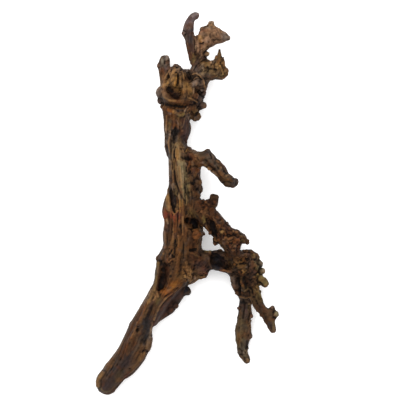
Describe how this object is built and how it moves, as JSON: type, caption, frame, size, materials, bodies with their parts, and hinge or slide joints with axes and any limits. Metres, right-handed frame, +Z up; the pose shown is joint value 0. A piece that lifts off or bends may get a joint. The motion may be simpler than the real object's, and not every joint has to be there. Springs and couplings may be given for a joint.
{
  "type": "ebony wood root",
  "caption": "Natural driftwood root, lying: ribbed trunk with a knotted burl, hooked twig, side arm and a forked, knotted branch that closes a small loop.",
  "frame": {"origin": "centre of the bounding box, at floor level", "axes": "+Y along the root, from its heavy stump end to its hooked twig; +X towards the side arm; +Z up from the floor it lies on"},
  "size_m": [0.184, 0.3832, 0.0612],
  "materials": {
    "ebony_wood": "weathered, with a soft sheen"
  },
  "bodies": {
    "root": {"ebony_root": "ebony_wood"}
  },
  "joints": []
}
